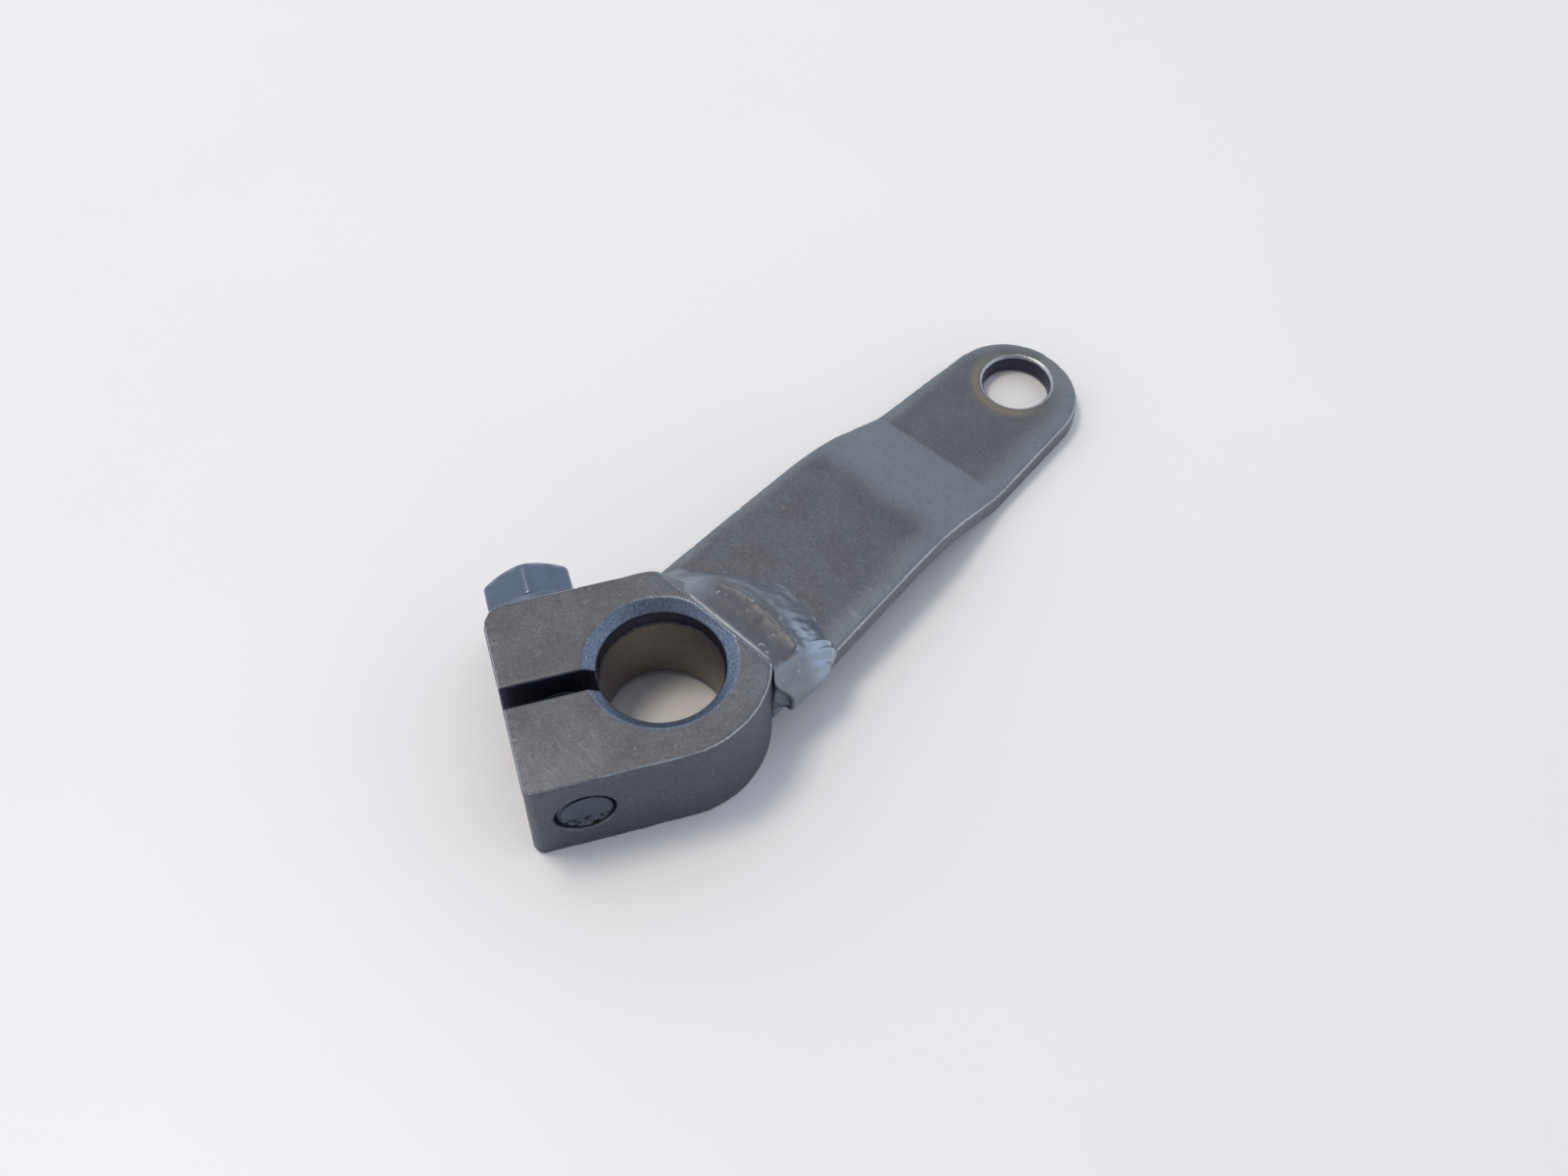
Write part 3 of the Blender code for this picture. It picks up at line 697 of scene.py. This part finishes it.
def thread_rows(angles):
    """Rows of the shank, close enough to carry its rolled thread, which runs out under the head."""
    rows = []
    for height in np.arange(HEAD_SEAT - 0.1, BOLT_END, -THREAD_ROW):
        phase = (height / BOLT_PITCH - angles / (2.0 * math.pi)) % 1.0
        depth = THREAD_DEPTH * (1.0 - np.clip(np.abs(phase - 0.5) * 2.6 - 0.16, 0.0, 1.0))
        depth = depth * step(HEAD_SEAT - height, 0.6, 2.0)
        widened = (height - BOLT_END) * (BOLT_RADIUS - BOLT_TIP_RADIUS) / BOLT_TIP_CHAMFER
        rows.append((np.minimum(BOLT_RADIUS - 0.02 - depth, BOLT_TIP_RADIUS + widened), height))
    return rows


def end_pits(x, y):
    """Pits in the lower part of the bolt's end, from 0 to 1."""
    return step(plan_hills(x, y, 0.5, 52), 0.2, 0.5) * step(-y, 0.6, 1.8)


def end_rows(angles):
    """Rows of the bolt's flat, pitted end, from its rim to its middle."""
    rows = []
    for share in (0.96, 0.88, 0.8, 0.72, 0.64, 0.56, 0.48, 0.4, 0.3, 0.2, 0.1, 0.001):
        radius = share * BOLT_TIP_RADIUS
        pits = end_pits(radius * np.cos(angles), radius * np.sin(angles))
        rows.append((radius, BOLT_END + 0.04 + 0.2 * pits))
    return rows


def make_pinch_bolt():
    """A forged hexagon head on a rolled thread, with a chamfered end."""
    angles = angles_of(BOLT_STEPS)
    points, quads = turned(head_rows(angles) + thread_rows(angles) + end_rows(angles), BOLT_STEPS)
    first_ring = np.arange(BOLT_STEPS)
    caps = [first_ring[::-1], len(points) - BOLT_STEPS + first_ring]
    x, y, z = points.T
    distance = np.hypot(x, y)
    off_flat = (np.arctan2(y, x) - HEAD_TURN) % (math.pi / 3) - math.pi / 6
    at_corner = 0.8 * step(np.abs(off_flat), math.pi / 6 - 0.05, math.pi / 6 - 0.005)
    at_corner *= step(distance, HEAD_FLAT, HEAD_FLAT + 0.4)
    chamfer = np.interp(distance, (HEAD_CROWN, HEAD_CORNER), (HEAD_TOP, HEAD_TOP - 0.9))
    at_rim = swell(z, chamfer, 0.12) * step(distance, HEAD_CROWN - 0.2, HEAD_CROWN + 0.2)
    marks = {
        "edge": np.maximum(at_corner, at_rim),
        "thread": fade(distance, BOLT_RADIUS, BOLT_RADIUS + 0.1),
        "dent": fade(z, BOLT_END + 0.42, BOLT_END + 0.5) * end_pits(x, y),
    }
    return piece("pinch_bolt_forged", points, [*quads[:, ::-1], *caps], BOLT_FRAME, marks)


# Finishes -------------------------------------------------------------------------------------------------


def colour(hex_code):
    """An sRGB hex colour as the linear numbers that shaders take."""
    parts = [int(hex_code[i : i + 2], 16) / 255 for i in (1, 3, 5)]
    linear = [part / 12.92 if part <= 0.04045 else ((part + 0.055) / 1.055) ** 2.4 for part in parts]
    return (*linear, 1.0)


def add(tree, kind, feeds=None, **settings):
    """Adds a node, sets its properties and feeds its inputs from values or other nodes' outputs."""
    made = tree.nodes.new("ShaderNode" + kind)
    for name, value in settings.items():
        setattr(made, name, value)
    for name, value in (feeds or {}).items():
        if isinstance(value, bpy.types.Node):
            value = value.outputs[0]
        if isinstance(value, bpy.types.NodeSocket):
            tree.links.new(value, made.inputs[name])
        else:
            made.inputs[name].default_value = value
    return made


def blank(name):
    """A new material with only its shader and output, and the piece's own coordinates."""
    material = bpy.data.materials.new(name)
    material.use_nodes = True
    tree = material.node_tree
    shader = tree.nodes["Principled BSDF"]
    return material, tree, shader, add(tree, "TexCoord").outputs["Object"]


def feed(tree, shader, sockets):
    """Links what a material has worked out to its shader's sockets."""
    for name, value in sockets.items():
        tree.links.new(value, shader.inputs[name])


def per(size_mm):
    """A pattern's scale, from the size of one cell of it in millimetres."""
    return 1.0 / (size_mm * MM)


def mark(tree, name, share=1.0):
    """A mark of the mesh, times a share."""
    read = add(tree, "Attribute", attribute_name=name)
    return add(tree, "Math", {0: read.outputs["Fac"], 1: share}, operation="MULTIPLY")


def broken(tree, amount, noise, low, high):
    """A mark broken up by a noise, so that it wears through unevenly."""
    total = add(tree, "Math", {0: amount, 1: noise}, operation="ADD")
    limits = {"Value": total, "From Min": low, "From Max": high}
    spread = add(tree, "MapRange", limits, interpolation_type="SMOOTHSTEP")
    return add(tree, "Math", {0: spread, 1: amount}, operation="MULTIPLY")


def tint(tree, share, under, over):
    """One colour laid over another by a share."""
    made = add(tree, "Mix", {0: share}, data_type="RGBA")
    for slot, value in ((6, under), (7, over)):
        if isinstance(value, bpy.types.NodeSocket):
            tree.links.new(value, made.inputs[slot])
        else:
            made.inputs[slot].default_value = value
    return made.outputs[2]


def between(tree, share, under, over):
    """One number laid over another by a share."""
    return add(tree, "Mix", {0: share, 2: under, 3: over}).outputs[0]


def blasted_colour(tree, place, cloud, grit, dark_grain, brownness):
    """Blue-grey oxide under brown soot, with the sides painted darker grey as shade, with pale and dark
    grains and a few specks.
    """
    blue = tint(tree, cloud, colour("#6A7074"), colour("#80868B"))
    brown = tint(tree, cloud, colour("#56565A"), colour("#65656A"))
    # The sides are painted darker grey than the tops: painted shade.
    shaded_sides = tint(tree, cloud, colour("#454954"), colour("#555A65"))
    base = tint(tree, mark(tree, "side", 0.85), tint(tree, brownness, blue, brown), shaded_sides)
    pale_grain = add(tree, "MapRange", {"Value": grit, "From Min": 0.52, "From Max": 0.74, "To Max": 0.4})
    base = tint(tree, pale_grain, base, colour("#99999B"))
    base = tint(tree, dark_grain, base, colour("#3C3B3E"))
    specks = add(tree, "TexVoronoi", {"Vector": place, "Scale": per(0.6), "Randomness": 1.0})
    lucky = add(tree, "SeparateColor", {0: specks.outputs["Color"]})
    is_speck = add(tree, "Math", {0: lucky.outputs[0], 1: 0.93}, operation="GREATER_THAN")
    reach = {"Value": specks.outputs["Distance"], "From Min": 0.26, "From Max": 0.1, "To Max": 0.7}
    speck = add(tree, "Math", {0: is_speck, 1: add(tree, "MapRange", reach)}, operation="MULTIPLY")
    is_pale = add(tree, "Math", {0: lucky.outputs[1], 1: 0.5}, operation="GREATER_THAN")
    return tint(tree, speck, base, tint(tree, is_pale, colour("#45403E"), colour("#A19D99")))


def machined_colour(tree, place, cloud, grit, dark_grain, base):
    """The base where it was rubbed, turned, polished, sawn or stained: hair scratches across the top, a
    steel-blue flare with pale flecks, a warm grey bore wall with dark grains, and near-black raw cuts."""
    streaks = add(tree, "Mapping", {"Vector": place, "Rotation": (0.0, 0.0, 0.35), "Scale": (6.0, 0.7, 1.0)})
    scratches = add(tree, "TexNoise", {"Vector": streaks, "Scale": per(1.6), "Detail": 2.0, "Roughness": 0.5})
    scratched = broken(tree, mark(tree, "rubbed", 0.6), scratches, 0.75, 1.1)
    base = tint(tree, scratched, base, colour("#878C92"))
    flecks = add(tree, "MapRange", {"Value": grit, "From Min": 0.35, "From Max": 0.7})
    lathe_cut = tint(tree, cloud, colour("#3F495C"), colour("#5F6B7E"))
    base = tint(tree, mark(tree, "turned"), base, tint(tree, flecks, lathe_cut, colour("#8492A3")))
    wall = tint(tree, cloud, colour("#6A6562"), colour("#918983"))
    base = tint(tree, mark(tree, "polished"), base, tint(tree, dark_grain, wall, colour("#1F1C1C")))
    base = tint(tree, mark(tree, "raw"), base, tint(tree, cloud, colour("#2B2A38"), colour("#43435A")))
    return tint(tree, mark(tree, "stain", 0.8), base, colour("#837C69"))


def black_oxide_steel():
    """Mild steel, hot black oxide over a blasted face. It looks near black, sooty brown where the blasting
    was coarse and blue-grey elsewhere, along the arm's edges and over its joggle, with bright steel at worn
    corners.
    Blasted grain is really about 0.15 mm across, and is drawn more than twice as coarse so that it shows."""
    material, tree, shader, place = blank("black_oxide_steel")
    patches = add(tree, "TexNoise", {"Vector": place, "Scale": per(7.0), "Detail": 5.0, "Roughness": 0.6})
    cloud = add(tree, "TexNoise", {"Vector": place, "Scale": per(2.2), "Detail": 5.0, "Roughness": 0.7})
    grit = add(tree, "TexNoise", {"Vector": place, "Scale": per(0.36), "Detail": 4.0, "Roughness": 0.75})
    uneven = add(tree, "MapRange", {"Value": patches, "From Min": 0.3, "From Max": 0.6, "To Min": 0.72})
    brownness = add(tree, "Math", {0: mark(tree, "soot"), 1: uneven}, operation="MULTIPLY")
    dark_grain = add(tree, "MapRange", {"Value": grit, "From Min": 0.46, "From Max": 0.26, "To Max": 0.4})
    base = blasted_colour(tree, place, cloud, grit, dark_grain, brownness)
    base = machined_colour(tree, place, cloud, grit, dark_grain, base)
    worn = broken(tree, mark(tree, "edge"), grit, 0.85, 1.35)
    bare = broken(tree, mark(tree, "bare"), cloud, 0.7, 1.25)
    shown = add(tree, "Math", {0: worn, 1: bare}, operation="MAXIMUM")
    base = tint(tree, shown, base, tint(tree, grit, colour("#8A8D91"), colour("#C9CBCD")))
    rough = between(tree, brownness, 0.44, 0.54)
    for share, value in ((mark(tree, "polished"), 0.42), (mark(tree, "turned"), 0.36), (shown, 0.34)):
        rough = between(tree, share, rough, value)
    metal = between(tree, shown, 0.82, 1.0)
    height = add(tree, "Math", {0: grit, 1: cloud}, operation="MULTIPLY")
    bump = add(tree, "Bump", {"Height": height, "Strength": 0.4, "Distance": 0.06 * MM})
    feed(tree, shader, {"Base Color": base, "Roughness": rough, "Metallic": metal, "Normal": bump.outputs[0]})
    return material


def weld_metal():
    """Arc-welded steel, oxidised with the lever. It looks smooth and glassy blue-grey where it froze last,
    painted lighter there as a highlight, with a dull brown crown full of fine pits and a painted highlight
    line along its toe and ridge."""
    material, tree, shader, place = blank("weld_metal")
    cloud = add(tree, "TexNoise", {"Vector": place, "Scale": per(1.8), "Detail": 5.0, "Roughness": 0.6})
    grit = add(tree, "TexNoise", {"Vector": place, "Scale": per(0.25), "Detail": 3.0, "Roughness": 0.7})
    soot = mark(tree, "soot")
    gloss_and_highlight = mark(tree, "gloss_and_highlight")
    base = tint(tree, cloud, colour("#6F787F"), colour("#90999F"))
    base = tint(tree, soot, base, tint(tree, cloud, colour("#5A5A5D"), colour("#707073")))
    # Lighter blue where glossy: the weld's glassy tint and a painted highlight together.
    base = tint(tree, gloss_and_highlight, base, tint(tree, cloud, colour("#8390A0"), colour("#A8B7C8")))
    base = tint(tree, broken(tree, mark(tree, "dent"), grit, 0.9, 1.5), base, colour("#A9A7A3"))
    # Pale along the edge mark: painted highlight at the toe and ridge.
    base = tint(tree, broken(tree, mark(tree, "edge"), grit, 1.0, 1.5), base, colour("#C4C7CA"))
    rough = between(tree, gloss_and_highlight, between(tree, soot, 0.42, 0.52), 0.22)
    bump = add(tree, "Bump", {"Height": grit, "Strength": 0.3, "Distance": 0.06 * MM})
    shader.inputs["Metallic"].default_value = 0.85
    feed(tree, shader, {"Base Color": base, "Roughness": rough, "Normal": bump.outputs[0]})
    return material


def blued_fastener_steel():
    """Cold-forged bolt steel, heat-blacked in oil. It looks satin blue-grey, darker down in the thread, and
    rubbed bright on the corners that a spanner touches."""
    material, tree, shader, place = blank("blued_fastener_steel")
    cloud = add(tree, "TexNoise", {"Vector": place, "Scale": per(2.5), "Detail": 4.0, "Roughness": 0.6})
    grit = add(tree, "TexNoise", {"Vector": place, "Scale": per(0.3), "Detail": 3.0, "Roughness": 0.65})
    base = tint(tree, cloud, colour("#56616F"), colour("#6D7A8A"))
    base = tint(tree, mark(tree, "thread"), base, tint(tree, cloud, colour("#3F4852"), colour("#58636F")))
    base = tint(tree, mark(tree, "dent"), base, colour("#1C1E23"))
    worn = broken(tree, mark(tree, "edge"), cloud, 0.85, 1.3)
    base = tint(tree, worn, base, tint(tree, grit, colour("#747D8C"), colour("#969EAA")))
    rough = between(tree, worn, between(tree, cloud, 0.34, 0.46), 0.3)
    bump = add(tree, "Bump", {"Height": grit, "Strength": 0.25, "Distance": 0.05 * MM})
    shader.inputs["Metallic"].default_value = 0.88
    feed(tree, shader, {"Base Color": base, "Roughness": rough, "Normal": bump.outputs[0]})
    return material


# Assembly -------------------------------------------------------------------------------------------------

finishes = {
    "black_oxide_steel": black_oxide_steel(),
    "weld_metal": weld_metal(),
    "blued_fastener_steel": blued_fastener_steel(),
}
for made, body, node, slot in (
    (make_clamp_block(), "lever", "clamp_block", "black_oxide_steel"),
    (make_lever_arm(), "lever", "lever_arm", "black_oxide_steel"),
    (make_upper_weld(), "lever", "weld_bead_top", "weld_metal"),
    (make_lower_weld(), "lever", "weld_bead_bottom", "weld_metal"),
    (make_bolt_washer(), "washer", "bolt_washer", "blued_fastener_steel"),
    (make_pinch_bolt(), "bolt", "pinch_bolt", "blued_fastener_steel"),
):
    made.data.materials.append(finishes[slot])
    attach(made, body)
    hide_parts(node)


# Floor, light and camera, in metres -----------------------------------------------------------------------

FLOOR_HALF = 12.0
WINDOW_PLACE = (-0.152, 0.325, 1.04)
WINDOW_SIZE = (0.34, 0.28)
WINDOW_POWER = 4.1
WINDOW_COLOUR = (1.0, 0.87, 0.72)
ROOM_STRENGTH = 1.16
ROOM_OVERHEAD = 0.75
ROOM_DARK_SIDE = (-0.44, -0.37, 0.82)
ROOM_DARK_STRENGTH = 0.28
CAMERA_FROM_BORE = (-0.08198, -0.08892, 0.20611)
CAMERA_AHEAD = (0.43914, 0.36605, -0.82046)
CAMERA_UPWARD = (0.61429, 0.54407, 0.57153)
CAMERA_LENS_MM = 39.4
CAMERA_SENSOR_MM = 36.0


def make_floor():
    """A wide pale sheet of satin plastic for the lever to lie on."""
    corners = [(FLOOR_HALF * x, FLOOR_HALF * y, 0.0) for x, y in ((-1, -1), (1, -1), (1, 1), (-1, 1))]
    mesh = bpy.data.meshes.new("floor")
    mesh.from_pydata(corners, [], [(0, 1, 2, 3)])
    floor = bpy.data.objects.new("floor", mesh)
    bpy.context.scene.collection.objects.link(floor)
    material, tree, shader, place = blank("satin_white_sheet")
    cloud = add(tree, "TexNoise", {"Vector": place, "Scale": per(60.0), "Detail": 3.0})
    feed(tree, shader, {"Base Color": tint(tree, cloud, colour("#EEEEEE"), colour("#F2F2F2"))})
    shader.inputs["Roughness"].default_value = 0.45
    mesh.materials.append(material)


def make_room():
    """A pale room, darker overhead and towards the side that the maker looks from."""
    world = bpy.data.worlds.new("pale_room")
    world.use_nodes = True
    tree = world.node_tree
    toward = add(tree, "TexCoord").outputs["Generated"]
    rise = add(tree, "SeparateXYZ", {0: toward}).outputs[2]
    overhead = add(tree, "MapRange", {"Value": rise, "To Min": 1.0, "To Max": ROOM_OVERHEAD})
    facing = add(tree, "VectorMath", {0: toward, 1: ROOM_DARK_SIDE}, operation="DOT_PRODUCT")
    limits = {"From Min": 0.6, "From Max": 0.97, "To Min": 1.0, "To Max": ROOM_DARK_STRENGTH}
    shaded = add(tree, "MapRange", {"Value": facing.outputs["Value"], **limits})
    strength = add(tree, "Math", {0: overhead, 1: shaded}, operation="MULTIPLY")
    strength = add(tree, "Math", {0: strength, 1: ROOM_STRENGTH}, operation="MULTIPLY")
    sky = tree.nodes["Background"]
    sky.inputs["Color"].default_value = colour("#EBF1FF")
    tree.links.new(strength.outputs[0], sky.inputs["Strength"])
    bpy.context.scene.world = world


def make_window():
    """A soft warm window above and behind the arm, turned to the lever."""
    lamp = bpy.data.lights.new("window", "AREA")
    lamp.shape = "RECTANGLE"
    lamp.size, lamp.size_y = WINDOW_SIZE
    lamp.color = WINDOW_COLOUR
    lamp.energy = WINDOW_POWER
    window = bpy.data.objects.new("window", lamp)
    window.location = WINDOW_PLACE
    window.rotation_mode = "QUATERNION"
    window.rotation_quaternion = (-window.location).to_track_quat("-Z", "Y")
    bpy.context.scene.collection.objects.link(window)


def make_camera():
    """Looks down along the arm from over the jaws."""
    lens = bpy.data.cameras.new("camera")
    lens.lens, lens.sensor_width = CAMERA_LENS_MM, CAMERA_SENSOR_MM
    lens.clip_start, lens.clip_end = 0.01, 20.0
    camera = bpy.data.objects.new("camera", lens)
    bpy.context.scene.collection.objects.link(camera)
    ahead = Vector(CAMERA_AHEAD)
    rightward = ahead.cross(Vector(CAMERA_UPWARD)).normalized()
    camera.matrix_world = stand(rightward, -ahead.normalized(), bore) @ Matrix.Scale(1 / MM, 4)
    camera.location = bore + Vector(CAMERA_FROM_BORE)
    bpy.context.scene.camera = camera


make_floor()
make_room()
make_window()
make_camera()
bpy.context.scene.view_settings.view_transform = "Standard"
